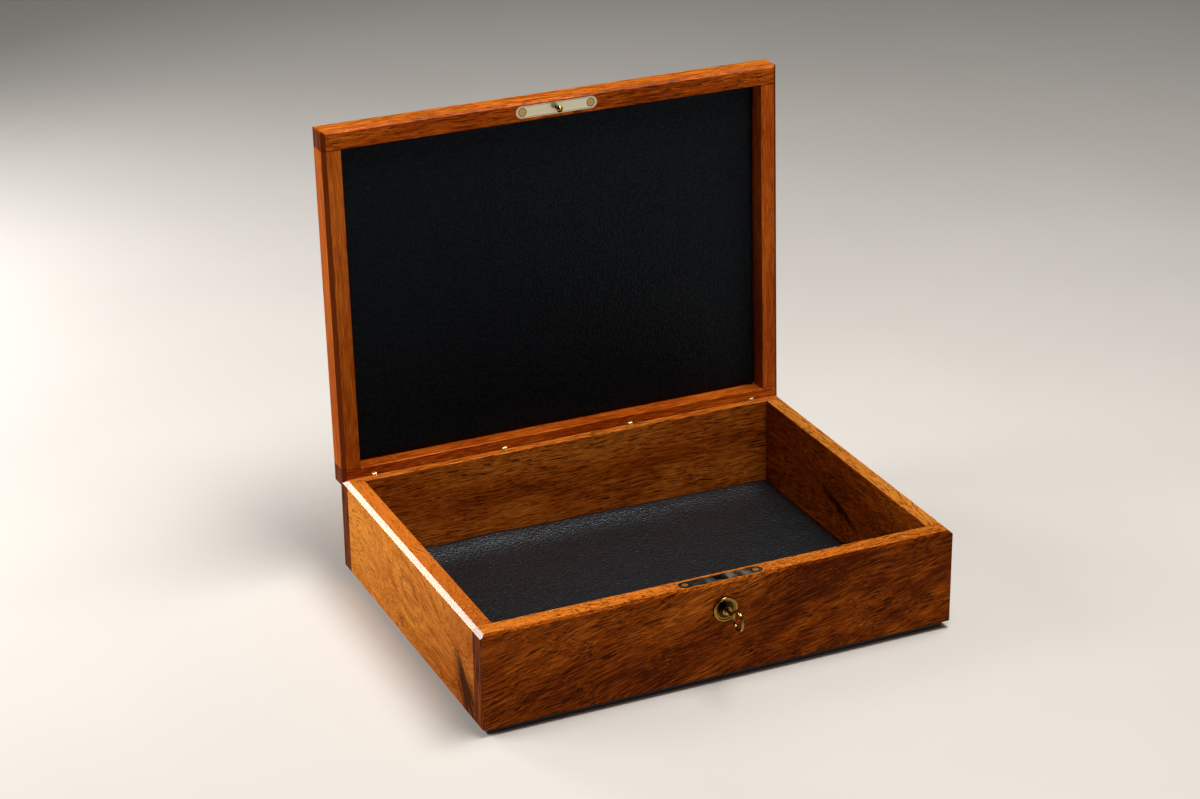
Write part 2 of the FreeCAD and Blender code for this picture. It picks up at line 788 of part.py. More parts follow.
def knuckle_disc(body, name, start):
    """Sketch of a round plate about the pivot, at a distance from the hinge's middle."""
    sketch = new_sketch(body, name, "YZ_Plane", ("0", "0", start))
    draw_circle(sketch, HINGE_Y, SEAM_Z, "knuckle_radius")
    return sketch


def clear_knuckle(body, name, start, width):
    """Round room about the pivot for the other barrel's knuckle."""
    sketch = new_sketch(body, name, "YZ_Plane", ("0", "0", start))
    draw_circle(sketch, HINGE_Y, SEAM_Z, "(knuckle_radius + knuckle_room)")
    return pocket(body, sketch, width, reverse=True)


def bore_knuckle(body, name, radius):
    sketch = new_sketch(body, name, "YZ_Plane", ("0", "0", f"(-{EAR_OUTER})"))
    draw_circle(sketch, HINGE_Y, SEAM_Z, radius)
    pocket(body, sketch, "knuckle_width", reverse=True)


def new_barrel(name, seam, up):
    """Round brass plug whose face follows the seam and the bevel of the wood round it."""
    body = new_body(name)
    far_end = f"({SEAM_Z} + {up} * barrel_length)"
    sketch = new_sketch(body, name + "_round", "XY_Plane", ("0", HINGE_Y, far_end))
    draw_circle(sketch, "0", "0", BARREL_RADIUS)
    pad(body, sketch, BORE_DEPTH, reverse=(up == "1"))
    back_y = f"({HINGE_Y} + barrel_diameter)"
    face = new_sketch(body, name + "_face", "YZ_Plane")
    draw_path(face, [(BEVEL_Y, seam), (back_y, bevel_height(up, back_y)), (back_y, seam)])
    pocket(body, face)
    return body


def make_box_barrel(name, placement):
    """Barrel with two ears, which hold the pin."""
    body = new_barrel(name, RIM_Z, "-1")
    clear_knuckle(body, name + "_room", f"(-{EAR_INNER})", f"2 * {EAR_INNER}")
    ear = pad(body, knuckle_disc(body, name + "_ear", EAR_INNER), f"{EAR_OUTER} - {EAR_INNER}")
    mirrored(body, name + "_ears", [ear], "YZ_Plane")
    bore_knuckle(body, name + "_pin_bore", "(hinge_pin_diameter / 2)")
    keep(name, body, placement)


def make_lid_barrel(name, placement):
    """Barrel with one tongue, which turns on the pin between the ears."""
    body = new_barrel(name, LID_Z, "1")
    width = f"{EAR_OUTER} + tongue_clearance - {TONGUE_HALF}"
    room = clear_knuckle(body, name + "_room", TONGUE_HALF, width)
    mirrored(body, name + "_rooms", [room], "YZ_Plane")
    pad(body, knuckle_disc(body, name + "_tongue", f"(-{TONGUE_HALF})"), "tongue_width")
    bore_knuckle(body, name + "_pin_bore", "(hinge_pin_diameter / 2 + running_clearance)")
    keep(name, body, placement)


def make_pins():
    """The four hinge pins, as separate solids."""
    pins = []
    for k, x in enumerate(HINGE_X, start=1):
        pin = doc.addObject("Part::Cylinder", f"hinge_pin_{k}")
        pin.setExpression("Radius", ex("hinge_pin_diameter / 2"))
        pin.setExpression("Height", ex("knuckle_width"))
        pin.Placement.Rotation = Rotation(Vector(0, 1, 0), 90)
        pin.setExpression("Placement.Base.x", ex(f"{x} - {EAR_OUTER}"))
        pin.setExpression("Placement.Base.y", ex(HINGE_Y))
        pin.setExpression("Placement.Base.z", ex(SEAM_Z))
        pins.append(pin)
    group = doc.addObject("Part::Compound", "hinge_pins")
    group.Links = pins
    keep("hinge_pins", group)


def make_hinges():
    for k, x in enumerate(HINGE_X, start=1):
        shift = Placement(Vector(val(x), 0, 0), Rotation())
        make_box_barrel(f"hinge_box_barrel_{k}", shift)
        make_lid_barrel(f"hinge_lid_barrel_{k}", LID_OPEN * shift)
    make_pins()


# Lock

def make_selvedge(name, seam, up, placement=None):
    """Flush brass plate with round ends and two countersunk holes; up is the way into the wood."""
    body = new_body(name)
    sketch = new_sketch(body, name + "_outline", "XY_Plane", ("0", LOCK_Y, seam))
    draw_path(sketch, plate_outline())
    pad(body, sketch, "plate_thickness", reverse=(up == "-1"))
    bore_row(body, name + "_holes", seam, [(x, LOCK_Y) for x in PLATE_SCREW_X],
             "plate_screw_radius", "plate_thickness", up == "1")
    bevel_edges(body, name + "_countersinks", "(plate_head_radius - plate_screw_radius)",
                hole_rims(seam, "plate_screw_radius"))
    opening = new_sketch(body, name + "_opening", "XY_Plane", ("0", LOCK_Y, seam))
    if up == "-1":
        half_length = "(stud_slot_length / 2)"
        half_width = "(stud_head_radius + stud_slot_clearance)"
        draw_path(opening, rectangle(f"(-{half_length})", f"(-{half_width})", half_length, half_width))
    else:
        draw_circle(opening, "0", "0", "stud_rivet_radius")
    pocket(body, opening, "plate_thickness", reverse=(up == "1"))
    keep(name, body, placement)


def make_plate_screws(name, seam, up, placement=None):
    body = new_body(name)
    profile = screw_profile("plate_head_radius", "plate_screw_radius", "plate_screw_length", up)
    screw = turned(body, name + "_screw", "XZ_Plane", profile,
                   (PLATE_SCREW_X[1], seam, f"(-{LOCK_Y})"), "V_Axis")
    sketch = new_sketch(body, name + "_driver", "XY_Plane", (PLATE_SCREW_X[1], LOCK_Y, seam))
    half_width = "(driver_slot_width / 2)"
    draw_path(sketch, rectangle("(-plate_head_radius)", f"(-{half_width})", "plate_head_radius", half_width))
    driver = pocket(body, sketch, "driver_slot_depth", reverse=(up == "1"))
    mirrored(body, name + "_pair", [screw, driver], "YZ_Plane")
    keep(name, body, placement)


def make_stud():
    """Turned catch stud, riveted into the strike plate."""
    body = new_body("strike_stud")
    face_radius = "(stud_head_radius * 0.5)"
    cheek_low = f"({STUD_TIP} + stud_head_height * 0.55)"
    cheek_high = f"({STUD_NECK_END} - stud_head_height * 0.15)"
    turned(body, "stud_section", "XZ_Plane", [
        ("0", f"({LID_Z} + plate_thickness)"),
        ("0", STUD_TIP),
        (face_radius, STUD_TIP),
        ("stud_head_radius", cheek_low),
        ("stud_head_radius", cheek_high),
        ("stud_neck_radius", STUD_NECK_END),
        ("stud_neck_radius", LID_Z),
        ("stud_rivet_radius", LID_Z),
        ("stud_rivet_radius", f"({LID_Z} + plate_thickness)"),
    ], ("0", "0", f"(-{LOCK_Y})"), "V_Axis")
    keep("strike_stud", body, LID_OPEN)


def make_case():
    half = CASE_HALF_LENGTH
    tray_back = f"({CASE_BACK} - case_sheet)"
    body = new_body("lock_case")
    outer = new_sketch(body, "case_outer", "XZ_Plane", ("0", "0", f"(-{tray_back})"))
    draw_path(outer, rectangle(f"(-{half})", CASE_BOTTOM, half, PLATE_UNDER))
    pad(body, outer, f"{CASE_WIDTH} - case_sheet")
    inner = new_sketch(body, "case_inner", "XZ_Plane", ("0", "0", f"(-{tray_back})"))
    draw_path(inner, rectangle(f"(case_sheet - {half})", f"({CASE_BOTTOM} + case_sheet)",
                               f"({half} - case_sheet)", PLATE_UNDER))
    pocket(body, inner, f"{CASE_WIDTH} - 2 * case_sheet", reverse=True)
    hole = new_sketch(body, "case_plug_hole", "XZ_Plane", ("0", LOCK_Z, f"(-{CASE_FRONT})"))
    draw_circle(hole, "0", "0", PLUG_BORE)
    pocket(body, hole, "case_sheet")
    keep("lock_case", body)
    cover = new_body("lock_cover")
    plate = new_sketch(cover, "cover_outline", "XZ_Plane", ("0", "0", f"(-{CASE_BACK})"))
    draw_path(plate, rectangle(f"(-{half})", CASE_BOTTOM, half, PLATE_UNDER))
    pad(cover, plate, "case_sheet")
    keep("lock_cover", cover)


POST_Z = f"({TAIL_TOP} - post_margin)"
CRANK_X = "(crank_radius * sin(key_turn_angle * 0.5deg))"
CRANK_Z = f"({LOCK_Z} + crank_radius * cos(key_turn_angle * 0.5deg))"
TAIL_LOW = f"({LOCK_Z} + crank_pin_diameter / 2)"
DISC_FRONT = f"({CASE_FRONT} + case_sheet + disc_clearance)"
DISC_BACK = f"({DISC_FRONT} + disc_thickness)"
TAIL_BACK = f"({DISC_BACK} + bolt_clearance + tail_thickness)"
CRANK_PIN_LENGTH = "(tail_thickness + 2 * bolt_clearance)"


def make_bolt():
    """Bent plate: a fork that slides under the stud's head, on a tail driven by the plug's crank pin."""
    body = new_body("lock_bolt")
    tail = new_sketch(body, "bolt_tail", "XZ_Plane", ("0", "0", f"(-{TAIL_BACK})"))
    draw_path(tail, [
        (BOLT_LEFT, TAIL_LOW),
        (BOLT_RIGHT, TAIL_LOW),
        (BOLT_RIGHT, FORK_TOP),
        ("bolt_arm_start", FORK_TOP),
        ("bolt_arm_start", TAIL_TOP),
        (BOLT_LEFT, TAIL_TOP),
    ])
    pad(body, tail, "tail_thickness")
    fork = new_sketch(body, "bolt_fork", "XY_Plane", ("0", LOCK_Y, FORK_UNDER))
    tip = "(stud_head_radius + bolt_clearance)"
    root = f"({TRAVEL} + stud_neck_radius + bolt_clearance)"
    half_width = f"({CASE_HALF_WIDTH} - case_sheet - bolt_clearance)"
    half_gap = "(stud_neck_radius + bolt_clearance)"
    draw_path(fork, [
        (tip, f"(-{half_width})"),
        (BOLT_RIGHT, f"(-{half_width})"),
        (BOLT_RIGHT, half_width),
        (tip, half_width),
        (tip, half_gap),
        (root, half_gap),
        (root, f"(-{half_gap})"),
        (tip, f"(-{half_gap})"),
    ])
    pad(body, fork, "bolt_thickness")
    guides = new_sketch(body, "bolt_guides", "XZ_Plane", ("0", "0", f"(-{TAIL_BACK})"))
    for post in ("(-post_left)", "post_right"):
        draw_path(guides, obround(post, f"({post} + {TRAVEL})", POST_Z, GUIDE_RADIUS))
    half_notch = "(crank_pin_diameter / 2 + bolt_clearance / 2)"
    draw_path(guides, rectangle(f"({CRANK_X} - {half_notch})", TAIL_LOW, f"({CRANK_X} + {half_notch})",
                                f"({LOCK_Z} + crank_radius + crank_pin_diameter / 2 + bolt_clearance)"))
    pocket(body, guides, "tail_thickness", reverse=True)
    keep("lock_bolt", body)


def make_posts():
    """Two guide posts across the case."""
    posts = []
    for name, x in (("left", "(-post_left)"), ("right", "post_right")):
        post = doc.addObject("Part::Cylinder", f"bolt_post_{name}")
        post.setExpression("Radius", ex("post_radius"))
        post.setExpression("Height", ex(f"{CASE_WIDTH} - 2 * case_sheet"))
        post.Placement.Rotation = Rotation(Vector(1, 0, 0), -90)
        post.setExpression("Placement.Base.x", ex(x))
        post.setExpression("Placement.Base.y", ex(f"{CASE_FRONT} + case_sheet"))
        post.setExpression("Placement.Base.z", ex(POST_Z))
        posts.append(post)
    group = doc.addObject("Part::Compound", "lock_posts")
    group.Links = posts
    keep("lock_posts", group)


NOSE_FACE = f"(-{HALF_Y} - plug_nose)"
KEY_TIP = f"({DISC_BACK} - plug_web)"
KEY_BIT_REACH = "(plug_diameter / 2 - plug_wall)"


def make_plug():
    """Round plug turned by the key, with a crank disc and pin behind it."""
    radius = "(plug_diameter / 2)"
    edge = "(plug_diameter / 2 - plug_chamfer)"
    body = new_body("lock_plug")
    turned(body, "plug_section", "YZ_Plane", [
        (DISC_BACK, "0"),
        (DISC_BACK, "(disc_diameter / 2)"),
        (DISC_FRONT, "(disc_diameter / 2)"),
        (DISC_FRONT, radius),
        (f"({NOSE_FACE} + plug_chamfer)", radius),
        (NOSE_FACE, edge),
        (NOSE_FACE, "0"),
    ], ("0", LOCK_Z, "0"), "H_Axis")
    bore = new_sketch(body, "key_bore", "XZ_Plane", ("0", LOCK_Z, f"(-{NOSE_FACE})"))
    draw_circle(bore, "0", "0", "(key_radius + running_clearance)")
    depth = f"{KEY_TIP} - {NOSE_FACE} + running_clearance"
    pocket(body, bore, depth)
    slot = new_sketch(body, "key_bit_slot", "XZ_Plane", ("0", LOCK_Z, f"(-{NOSE_FACE})"))
    half_slot = "(key_bit_thickness / 2 + running_clearance)"
    draw_path(slot, rectangle(f"(-{half_slot})", f"(-{KEY_BIT_REACH} - running_clearance)", half_slot, "0"))
    pocket(body, slot, depth)
    crank = new_sketch(body, "crank_pin", "XZ_Plane", ("0", "0", f"(-{DISC_BACK})"))
    draw_circle(crank, CRANK_X, CRANK_Z, "(crank_pin_diameter / 2)")
    pad(body, crank, CRANK_PIN_LENGTH, reverse=True)
    keep("lock_plug", body)


def make_key():
    """Key with a ring bow standing upright."""
    body = new_body("key")
    shoulder = f"({NOSE_FACE} - running_clearance)"
    shoulder_end = f"({shoulder} - key_shoulder_length)"
    bow_y = f"(-{HALF_Y} - bow_distance)"
    wire_front = f"({bow_y} + bow_radius + bow_wire_radius)"
    turned(body, "key_shaft", "YZ_Plane", [
        (KEY_TIP, "0"),
        (KEY_TIP, "(key_radius - key_tip_chamfer)"),
        (f"({KEY_TIP} - key_tip_chamfer)", "key_radius"),
        (shoulder, "key_radius"),
        (shoulder, "key_shoulder_radius"),
        (shoulder_end, "key_shoulder_radius"),
        (shoulder_end, "key_radius"),
        (wire_front, "key_radius"),
        (f"({wire_front} - bow_joint_depth)", "bow_joint_radius"),
        (f"({wire_front} - bow_joint_depth)", "0"),
    ], ("0", LOCK_Z, "0"), "H_Axis")
    bit = new_sketch(body, "key_bit", "YZ_Plane", ("0", LOCK_Z, "(-key_bit_thickness / 2)"))
    draw_path(bit, rectangle(f"({KEY_TIP} - key_bit_length)", f"(-{KEY_BIT_REACH})",
                             f"({KEY_TIP} - key_tip_chamfer)", "0"))
    pad(body, bit, "key_bit_thickness")
    ring = new_sketch(body, "key_bow", "XY_Plane", ("0", bow_y, LOCK_Z))
    draw_circle(ring, "0", "bow_radius", "bow_wire_radius")
    feature = body.newObject("PartDesign::Revolution", "key_bow_turned")
    feature.Profile = ring
    feature.ReferenceAxis = (ring, ["H_Axis"])
    feature.Angle = 360
    doc.recompute()
    keep("key", body)


def make_escutcheon():
    """Turned rose: beaded rim, sunk dish, collar round the plug and a sleeve into the board."""
    front = f"(-{HALF_Y})"
    outer = "(escutcheon_diameter / 2)"
    collar = f"({PLUG_BORE} + collar_width)"
    dish = f"({front} - dish_floor)"
    crown = f"({front} - escutcheon_height)"
    shoulder = f"({front} - escutcheon_height + rim_width / 2)"
    body = new_body("escutcheon")
    turned(body, "escutcheon_section", "YZ_Plane", [
        (CASE_FRONT, PLUG_BORE),
        (CASE_FRONT, SLEEVE_RADIUS),
        (front, SLEEVE_RADIUS),
        (front, outer),
        (shoulder, outer),
        (shoulder, f"({outer} - rim_width)", shoulder, f"({outer} - rim_width / 2)", "ccw"),
        (dish, f"({collar} + dish_slope)"),
        (dish, collar),
        (crown, f"({collar} - collar_chamfer)"),
        (crown, PLUG_BORE),
    ], ("0", LOCK_Z, "0"), "H_Axis")
    keep("escutcheon", body)


def make_lock():
    make_selvedge("lock_plate", RIM_Z, "-1")
    make_plate_screws("lock_plate_screws", RIM_Z, "-1")
    make_selvedge("strike_plate", LID_Z, "1", LID_OPEN)
    make_plate_screws("strike_plate_screws", LID_Z, "1", LID_OPEN)
    make_stud()
    make_case()
    make_bolt()
    make_posts()
    make_plug()
    make_key()
    make_escutcheon()


def export():
    """Check every object and write one file for each sub-part."""
    doc.recompute()
    for item in doc.Objects:
        if "Invalid" in item.State or "Error" in item.State:
            raise RuntimeError(f"{item.Label} failed: {item.State}")
    for name, item in nodes.items():
        if item.Shape.isNull() or not item.Shape.isValid() or item.Shape.Volume <= 0:
            raise RuntimeError(f"{name} has no valid shape")
    os.makedirs("parts", exist_ok=True)
    for name, item in nodes.items():
        item.Shape.exportStep(os.path.join("parts", name + ".step"))


make_front_board()
make_back_board()
make_side_board("left_board", "-1")
make_side_board("right_board", "1")
make_base()
make_base_screws()
make_linings()
make_lid_front_rail()
make_lid_back_rail()
make_lid_side_rail("lid_left_rail", "-1")
make_lid_side_rail("lid_right_rail", "1")
make_lid_panel()
make_hinges()
make_lock()
export()
for name, item in nodes.items():
    print(name, len(item.Shape.Solids), round(item.Shape.Volume, 2))
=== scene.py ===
"""Document box: wood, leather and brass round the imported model, with its floor, light and camera."""
import json
import math

import bmesh
import bpy
from mathutils import Matrix, Vector, noise


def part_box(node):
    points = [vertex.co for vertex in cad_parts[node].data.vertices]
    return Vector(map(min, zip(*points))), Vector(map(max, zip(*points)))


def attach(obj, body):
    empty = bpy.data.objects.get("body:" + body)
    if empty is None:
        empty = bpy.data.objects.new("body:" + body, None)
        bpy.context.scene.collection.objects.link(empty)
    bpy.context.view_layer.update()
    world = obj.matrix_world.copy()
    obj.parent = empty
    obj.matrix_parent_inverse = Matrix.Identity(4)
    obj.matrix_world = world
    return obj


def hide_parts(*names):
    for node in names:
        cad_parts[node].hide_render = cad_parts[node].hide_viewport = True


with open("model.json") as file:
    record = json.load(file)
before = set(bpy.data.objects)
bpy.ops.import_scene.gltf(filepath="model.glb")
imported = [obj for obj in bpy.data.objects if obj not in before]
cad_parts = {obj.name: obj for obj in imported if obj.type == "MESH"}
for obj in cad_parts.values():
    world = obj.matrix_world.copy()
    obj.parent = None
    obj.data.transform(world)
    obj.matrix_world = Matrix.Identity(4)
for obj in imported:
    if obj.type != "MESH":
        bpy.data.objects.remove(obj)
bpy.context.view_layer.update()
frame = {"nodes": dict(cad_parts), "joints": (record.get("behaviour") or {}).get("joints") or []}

NODES = frame["nodes"]
MM = 0.001

# The lid stands open at rest, by the whole travel of its hinge.
OPEN_ANGLE = math.radians(max(joint["range_deg"][1] for joint in frame["joints"] if joint["name"] == "lid_swing"))
BOX_AXES = (Vector((1, 0, 0)), Vector((0, 1, 0)), Vector((0, 0, 1)))
LID_TURN = Matrix.Rotation(-OPEN_ANGLE, 3, "X")
LID_AXES = tuple(LID_TURN @ axis for axis in BOX_AXES)


def oriented_box(node, axes):
    """Lowest and highest corner of a node, measured along three axes of its own."""
    spots = [Vector([vertex.co.dot(axis) for axis in axes]) for vertex in NODES[node].data.vertices]
    low = Vector([min(spot[k] for spot in spots) for k in range(3)])
    high = Vector([max(spot[k] for spot in spots) for k in range(3)])
    return low, high


BOX_JOINTS = (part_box("front_board")[1].y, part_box("back_board")[0].y)
LID_JOINTS = (oriented_box("lid_front_rail", LID_AXES)[1].y, oriented_box("lid_back_rail", LID_AXES)[0].y)


# Node trees

class Graph:
    """A material's node tree, with one short call for each kind of step."""

    def __init__(self, name, **sockets):
        self.material = bpy.data.materials.new(name)
        self.material.use_nodes = True
        self.tree = self.material.node_tree
        self.tree.nodes.clear()
        self.shader = self.node("ShaderNodeBsdfPrincipled", sockets)
        output = self.node("ShaderNodeOutputMaterial")
        self.tree.links.new(self.shader.outputs[0], output.inputs[0])

    def node(self, kind, sockets=None, **settings):
        made = self.tree.nodes.new(kind)
        for key, value in settings.items():
            setattr(made, key, value)
        for key, value in (sockets or {}).items():
            self.put(made, key, value)
        return made

    def put(self, made, key, value):
        """Set a socket to a value, or link it to another node's socket."""
        socket = made.inputs[key]
        if isinstance(value, bpy.types.NodeSocket):
            self.tree.links.new(value, socket)
        else:
            socket.default_value = value

    def set(self, key, value):
        self.put(self.shader, key, value)

    def place(self, move=(0, 0, 0), turn=(0, 0, 0), size=(1, 1, 1), vector=None):
        """Object coordinates, or another vector, moved, turned (degrees) and scaled."""
        if vector is None:
            vector = self.node("ShaderNodeTexCoord").outputs["Object"]
        turned = tuple(math.radians(angle) for angle in turn)
        return self.node("ShaderNodeMapping",
                         {"Vector": vector, "Location": move, "Rotation": turned, "Scale": size}).outputs[0]

    def noise(self, vector, scale=1.0, detail=2.0, rough=0.5, distort=0.0, colour=False):
        made = self.node("ShaderNodeTexNoise", {"Vector": vector, "Scale": scale, "Detail": detail,
                                                "Roughness": rough, "Distortion": distort})
        return made.outputs["Color" if colour else "Fac"]

    def cells(self, vector, scale, feature="F1", smooth=None):
        settings = {"Vector": vector, "Scale": scale}
        if smooth is not None:
            settings["Smoothness"] = smooth
        return self.node("ShaderNodeTexVoronoi", settings, feature=feature).outputs["Distance"]

    def math(self, operation, a, b=0.0, clamp=False):
        made = self.node("ShaderNodeMath", operation=operation, use_clamp=clamp)
        self.put(made, 0, a)
        self.put(made, 1, b)
        return made.outputs[0]

    def vector(self, operation, a, b):
        made = self.node("ShaderNodeVectorMath", operation=operation)
        self.put(made, 0, a)
        self.put(made, 1, b)
        return made.outputs["Value" if operation in ("LENGTH", "DISTANCE", "DOT_PRODUCT") else "Vector"]

    def total(self, *terms):
        """Sum of (value, weight) pairs whose values are one half on average, with that same average."""
        result = 0.5 - 0.5 * sum(weight for value, weight in terms)
        for value, weight in terms:
            result = self.math("ADD", self.math("MULTIPLY", value, weight), result)
        return result

    def along(self, vector, axis):
        return self.vector("DOT_PRODUCT", vector, tuple(axis))

    def span(self, value, low, high, to_low=0.0, to_high=1.0):
        """Map a range to another, clamped, with eased ends."""
        made = self.node("ShaderNodeMapRange", {"Value": value, "From Min": low, "From Max": high,
                                                "To Min": to_low, "To Max": to_high},
                         interpolation_type="SMOOTHSTEP")
        return made.outputs[0]

    def ramp(self, value, stops):
        made = self.node("ShaderNodeValToRGB", {"Fac": value})
        elements = made.color_ramp.elements
        while len(elements) < len(stops):
            elements.new(0.5)
        for element, (position, colour) in zip(elements, stops):
            element.position = position
            element.color = (*colour, 1)
        return made.outputs["Color"]

    def mix(self, factor, a, b, blend="MIX"):
        made = self.node("ShaderNodeMix", data_type="RGBA", blend_type=blend)
        self.put(made, 0, factor)
        for index, colour in ((6, a), (7, b)):
            self.put(made, index, colour if isinstance(colour, bpy.types.NodeSocket) else (*colour, 1))
        return made.outputs[2]

    def bump(self, height, distance, strength=1.0, normal=None):
        made = self.node("ShaderNodeBump", {"Height": height, "Distance": distance, "Strength": strength})
        if normal is not None:
            self.put(made, "Normal", normal)
        return made.outputs[0]


# Wood

WOOD_DARK = (0.080, 0.0125, 0.0012)
WOOD_MID = (0.300, 0.0660, 0.0058)
WOOD_LIGHT = (0.660, 0.2450, 0.0380)
WOOD_PORE = (0.020, 0.0038, 0.0007)
END_GRAIN_DARK = (0.045, 0.0075, 0.0014)
END_GRAIN_LIGHT = (0.200, 0.0480, 0.0120)
# Painted shade for the lid's 45° faces that the lamps miss.
BEVEL_PAINTED_SHADE = (0.085, 0.0120, 0.0016)


def knot_field(g, place, spot, reach, lean):
    """How much a place lies in a knot, and how far the knot pushes the grain aside."""
    offset = g.vector("SUBTRACT", place, spot)
    leaned = g.place(turn=(lean, 0, 0), vector=offset)
    scaled = g.place(size=tuple(1 / r for r in reach), vector=leaned)
    ragged = g.noise(g.place(size=(1.0, 2.6, 0.8), vector=scaled), 1.3, 4, 0.6, colour=True)
    scaled = g.vector("ADD", scaled, g.place(move=(-0.8, -0.8, -0.8), size=(1.6, 1.6, 1.6), vector=ragged))
    distance = g.vector("LENGTH", scaled, (0, 0, 0))
    push = g.node("ShaderNodeVectorMath", {0: offset}, operation="SCALE")
    g.put(push, "Scale", g.math("MULTIPLY", g.span(distance, 0.0, 3.2, 1, 0), 0.8))
    return g.span(distance, 0.30, 1.10, 1, 0), push.outputs[0]


def ring_field(g, place, centre, stretch, spacing, reach):
    """Soft loops of figure about a point, fading out with distance."""
    offset = g.place(size=stretch, vector=g.vector("SUBTRACT", place, centre))
    ragged = g.noise(g.place(size=(22, 22, 22), vector=place), 1.0, 3, 0.55)
    distance = g.math("ADD", g.vector("LENGTH", offset, (0, 0, 0)), g.math("MULTIPLY", ragged, 2.0 * spacing))
    wave = g.math("SINE", g.math("MULTIPLY", distance, 2 * math.pi / spacing))
    fade = g.span(distance, 0.3 * reach, reach, 0.5, 0)
    return g.math("ADD", g.math("MULTIPLY", wave, fade), 0.5)


def wood(name, seed, along="X", lid=False, slant=0.0, wander=6.0, tone_and_painted_light=0.0, painted_light_drift=(0, 0, 0), figure=1.0,
         contrast=1.0, warmth=(1, 1, 1), pore=0.80, rim=0.0, rim_light_tint=None, knot=None, rings=None):
    """Lacquered wood whose grain follows the board.

    slant turns the broad figure in the board's face, in degrees; wander is how far the lines stray, in mm;
    tone makes the board lighter or darker, partly its own colour and partly painted light and shade (the lit left board
    lighter, the shaded front board darker); drift changes it along the board, per metre, as painted light and shade
    (the left board lighter toward its upper rear, the front board darker toward its right);
    figure is the strength of the broad figure, contrast that of all of it and pore that of the dark dashes;
    rim makes the straight-grained narrow faces lighter, as painted light from above on the faces that look up,
    and rim_light_tint is the tint of that painted light;
    knot is (spot, reach, lean) and rings (centre, stretch, spacing, reach).
    """
    g = Graph(name)
    place = g.place(turn=(math.degrees(OPEN_ANGLE), 0, 0)) if lid else g.place()
    axes = LID_AXES if lid else BOX_AXES
    grain = axes[0] if along == "X" else axes[1]
    knot_mask = 0.0
    if knot:
        knot_mask, push = knot_field(g, place, *knot)
        place = g.vector("ADD", place, push)
    aligned = g.place(turn=(0, 0, 90 if along == "Y" else 0), vector=place)
    shifted = g.place(move=(seed * 0.731, seed * 1.377, seed * 0.519), vector=aligned)

    sway = g.noise(g.place(size=(9, 13, 16), vector=shifted), 1.0, 2, 0.5, colour=True)
    sway = g.place(move=(-0.5, -0.5, -0.5), vector=sway)
    stray = g.place(size=(0, wander * MM * 4, wander * MM * 4), vector=sway)
    lines = g.vector("ADD", g.place(turn=(0, 0.5 * slant, 0), vector=shifted), stray)
    slanted = g.vector("ADD", g.place(turn=(0, slant, 0), vector=shifted), stray)

    bands = g.noise(g.place(size=(9, 48, 48), vector=slanted), 1.0, 3, 0.5)
    streaks = g.noise(g.place(size=(24, 430, 430), vector=lines), 1.0, 3, 0.7)
    hairs = g.noise(g.place(size=(65, 1500, 1500), vector=lines), 1.0, 2, 0.7)
    clouds = g.noise(g.place(size=(9, 17, 22), vector=slanted), 1.0, 2, 0.45)
    terms = [(bands, 0.36 * figure), (streaks, 0.30), (hairs, 0.60), (clouds, 0.44 * figure)]
    if rings:
        terms.append((ring_field(g, place, *rings), 0.10))
    value = g.total(*((field, weight * contrast) for field, weight in terms))
    facing = g.node("ShaderNodeTexCoord").outputs["Normal"]
    # The narrow faces that look up get straight grain and are painted lighter: painted light from above.
    if rim:
        straight = g.math("ADD", g.total((streaks, 0.62 * contrast), (hairs, 0.62 * contrast)), rim)
        narrow = g.span(g.math("ABSOLUTE", g.along(facing, axes[1 if lid else 2])), 0.90, 0.98)
        value = g.node("ShaderNodeMix", {0: narrow, 2: value, 3: straight}, data_type="FLOAT").outputs[0]
    # Lightness per board and along it: partly the wood's own colour, partly painted light and shade.
    value = g.math("ADD", value, g.math("ADD", g.along(g.place(), painted_light_drift), tone_and_painted_light))
    colour = g.ramp(value, [(0.32, WOOD_DARK), (0.5, WOOD_MID), (0.70, WOOD_LIGHT)])
    # The narrow faces' own tint is the colour of their painted light.
    tint = g.mix(narrow, warmth, rim_light_tint) if rim_light_tint else warmth
    colour = g.mix(1.0, colour, tint, blend="MULTIPLY")

    crowded = g.math("MULTIPLY", g.noise(g.place(size=(16, 60, 60), vector=slanted), 1.0, 2, 0.5), 0.20)
    dashes = g.noise(g.place(size=(80, 1050, 1050), vector=lines), 1.0, 1, 0.5)
    ticks = g.noise(g.place(size=(190, 2600, 2600), vector=lines), 1.0, 1, 0.5)
    pores = g.math("MAXIMUM", g.span(g.math("ADD", dashes, crowded), 0.68, 0.77),
                   g.span(g.math("ADD", ticks, crowded), 0.72, 0.82))
    colour = g.mix(g.math("MULTIPLY", pores, pore), colour, WOOD_PORE)
    colour = g.mix(g.math("MULTIPLY", knot_mask, 0.94), colour, WOOD_PORE)

    growth = g.noise(g.place(size=(0, 420, 26)), 1.0, 3, 0.6)
    cut_across = g.span(g.math("ABSOLUTE", g.along(facing, grain)), 0.80, 0.90)
    colour = g.mix(cut_across, colour, g.ramp(growth, [(0.38, END_GRAIN_DARK), (0.62, END_GRAIN_LIGHT)]))
    # The lid's 45° faces are painted dark: painted shade where the lamps miss them.
    if lid:
        shaded_bevel = g.math("SUBTRACT", g.math("ABSOLUTE", g.along(facing, axes[0])), g.along(facing, axes[2]))
        colour = g.mix(g.span(shaded_bevel, 1.32, 1.38, 0, 0.85), colour, BEVEL_PAINTED_SHADE)
    if along == "Y":
        level = g.along(g.place(), grain)
        gaps = [g.math("ABSOLUTE", g.math("SUBTRACT", level, joint)) for joint in (LID_JOINTS if lid else BOX_JOINTS)]
        colour = g.mix(g.span(g.math("MINIMUM", *gaps), 0.2 * MM, 0.6 * MM, 0.85, 0), colour, WOOD_PORE)
    g.set("Base Color", colour)

